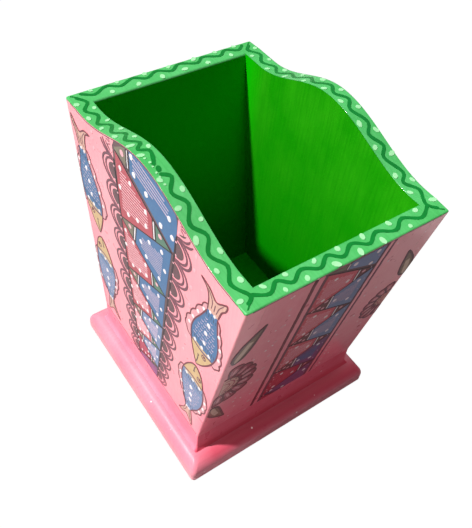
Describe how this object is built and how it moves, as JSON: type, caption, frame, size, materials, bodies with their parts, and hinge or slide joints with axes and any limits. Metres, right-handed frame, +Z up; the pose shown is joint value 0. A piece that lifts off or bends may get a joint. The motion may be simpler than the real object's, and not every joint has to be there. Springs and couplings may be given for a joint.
{
  "type": "pen holder cup",
  "caption": "Open-topped desk cup of painted boards: outward-leaning front and back, upright sides with a wavy top edge, on a wider rounded square plinth.",
  "frame": {"origin": "middle of the plinth's underside, on the surface that the cup stands on", "axes": "+Z up, out of the mouth; -Y towards the front wall; the side walls with the wavy top edge face -X and +X"},
  "size_m": [0.079, 0.0944, 0.114],
  "materials": {
    "plinth_pink": "hand-painted pink under gloss varnish",
    "band_pink": "hand-painted deep pink under gloss varnish",
    "wall_pink": "hand-painted pale pink with fine painted decoration under gloss varnish",
    "inside_green": "brushed-on green paint under gloss varnish",
    "rim_green": "light green paint with a wavy dark green line and pale dots",
    "paint_blue": "thin hand-painted acrylic",
    "paint_red": "thin hand-painted acrylic",
    "paint_yellow": "thin hand-painted acrylic",
    "paint_brown": "fine brush and pen lines",
    "paint_white": "small raised dots and dashes",
    "nail_steel": "bright drawn wire"
  },
  "bodies": {
    "root": {"plinth": "plinth_pink", "floor_board": "band_pink", "left_wall": "wall_pink", "right_wall": "wall_pink", "front_wall": "wall_pink", "back_wall": "wall_pink", "corner_nail_left_front_low": "nail_steel", "corner_nail_left_front_mid": "nail_steel", "corner_nail_left_front_top": "nail_steel", "corner_nail_left_back_low": "nail_steel", "corner_nail_left_back_mid": "nail_steel", "corner_nail_left_back_top": "nail_steel", "corner_nail_right_front_low": "nail_steel", "corner_nail_right_front_mid": "nail_steel", "corner_nail_right_front_top": "nail_steel", "corner_nail_right_back_low": "nail_steel", "corner_nail_right_back_mid": "nail_steel", "corner_nail_right_back_top": "nail_steel", "floor_nail_left_wall_front": "nail_steel", "floor_nail_left_wall_back": "nail_steel", "floor_nail_right_wall_front": "nail_steel", "floor_nail_right_wall_back": "nail_steel", "floor_nail_front_wall_left": "nail_steel", "floor_nail_back_wall_left": "nail_steel", "floor_nail_front_wall_right": "nail_steel", "floor_nail_back_wall_right": "nail_steel", "plinth_nail_left_front": "nail_steel", "plinth_nail_left_back": "nail_steel", "plinth_nail_right_front": "nail_steel", "plinth_nail_right_back": "nail_steel"}
  },
  "joints": []
}
